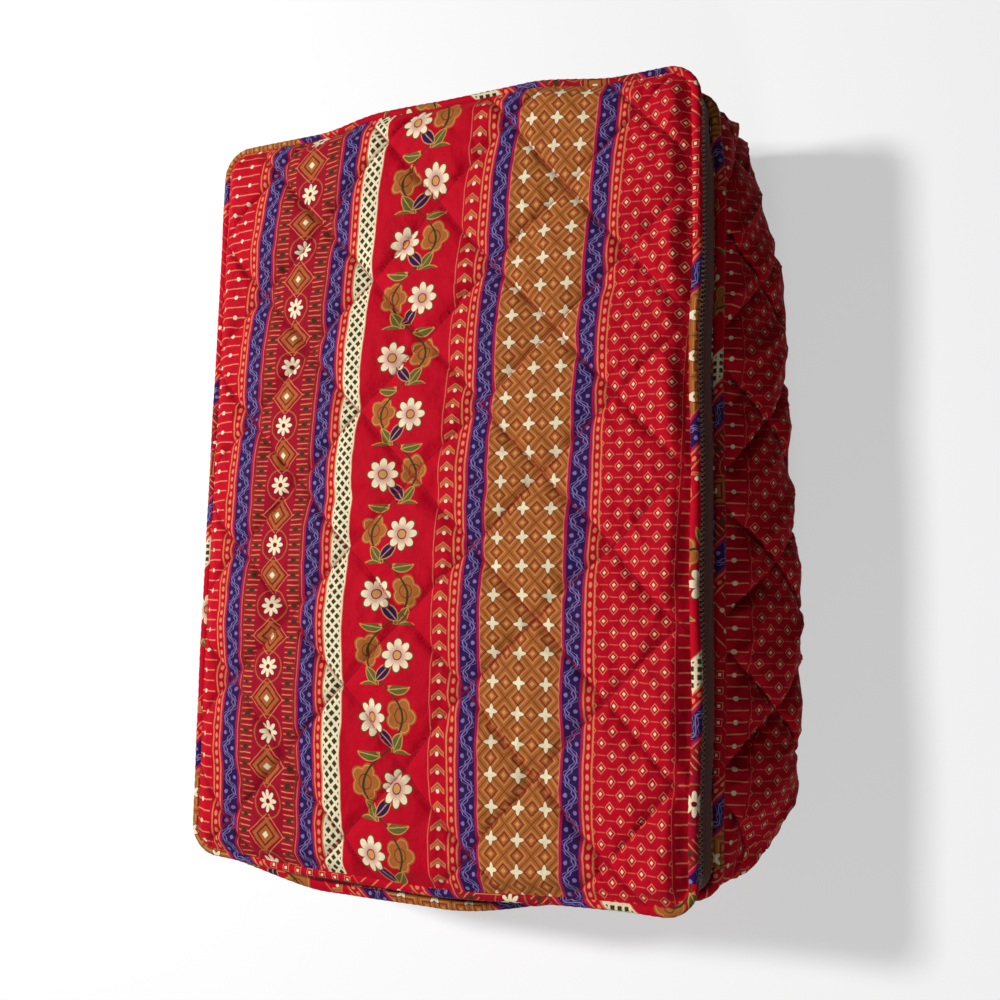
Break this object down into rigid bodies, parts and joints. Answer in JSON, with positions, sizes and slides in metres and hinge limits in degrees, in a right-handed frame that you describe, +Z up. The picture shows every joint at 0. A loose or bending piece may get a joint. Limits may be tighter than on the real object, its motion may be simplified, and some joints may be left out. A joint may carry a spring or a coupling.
{
  "type": "casserole carrier",
  "caption": "Soft quilted zip-round carrier for a casserole dish, with a hinged lid, piped seams and hanging hand loops on the short ends.",
  "frame": {"origin": "bottom centre of the case, on the surface that it stands on", "axes": "+Z up; Y along the case; X across it, with the lid hinged on the -X side"},
  "size_m": [0.345, 0.431, 0.1235],
  "materials": {
    "print_cotton": "quilted printed cotton, matt",
    "piping_cotton": "the same print cut on the bias round a cord",
    "zip_tape": "dark brown woven tape",
    "zip_teeth": "dark brown nylon",
    "zip_metal": "antique brass",
    "lining": "plain woven lining",
    "board": "stiffening sheet"
  },
  "bodies": {
    "case": {"base_panel": "print_cotton", "base_board": "board", "side_panel_right": "print_cotton", "end_panel_far": "print_cotton", "side_panel_hinge": "print_cotton", "end_panel_near": "print_cotton", "base_piping": "piping_cotton", "body_piping": "piping_cotton", "case_lining": "lining", "hinge_strip_lower": "zip_tape", "zip_tape_lower": "zip_tape", "zip_teeth_lower": "zip_teeth", "zip_bottom_stop_lower": "zip_metal", "zip_top_stop_lower": "zip_metal"},
    "lid": {"lid_panel": "print_cotton", "lid_lining": "lining", "lid_piping": "piping_cotton", "hinge_strip_upper": "zip_tape", "zip_tape_upper": "zip_tape", "zip_teeth_upper": "zip_teeth", "zip_bottom_stop_upper": "zip_metal", "zip_top_stop_upper": "zip_metal"},
    "zip_slider": {"slider_outer_plate": "zip_metal", "slider_inner_plate": "zip_metal", "slider_crown": "zip_metal"},
    "zip_pull": {"zip_pull": "zip_metal"},
    "hand_loop_near": {"handle_near": "print_cotton"},
    "hand_loop_far": {"handle_far": "print_cotton"}
  },
  "joints": [
    {"name": "lid_hinge", "type": "hinge", "parent": "case", "child": "lid", "pos_m": [-0.14625, 0, 0.09875], "axis": [0, -1, 0], "range_deg": [0, 180]},
    {"name": "zip_slide", "type": "slide", "parent": "case", "child": "zip_slider", "axis": [1, 0, 0], "range_m": [0, 0.22]},
    {"name": "pull_swing", "type": "hinge", "parent": "zip_slider", "child": "zip_pull", "pos_m": [-0.115, 0.20058, 0.09875], "axis": [0, 0, 1], "range_deg": [0, 180]},
    {"name": "near_loop_swing", "type": "hinge", "parent": "case", "child": "hand_loop_near", "pos_m": [0, -0.20262, 0.0792], "axis": [-1, 0, 0], "range_deg": [0, 90]},
    {"name": "far_loop_swing", "type": "hinge", "parent": "case", "child": "hand_loop_far", "pos_m": [0, 0.20262, 0.0792], "axis": [1, 0, 0], "range_deg": [0, 90]}
  ]
}
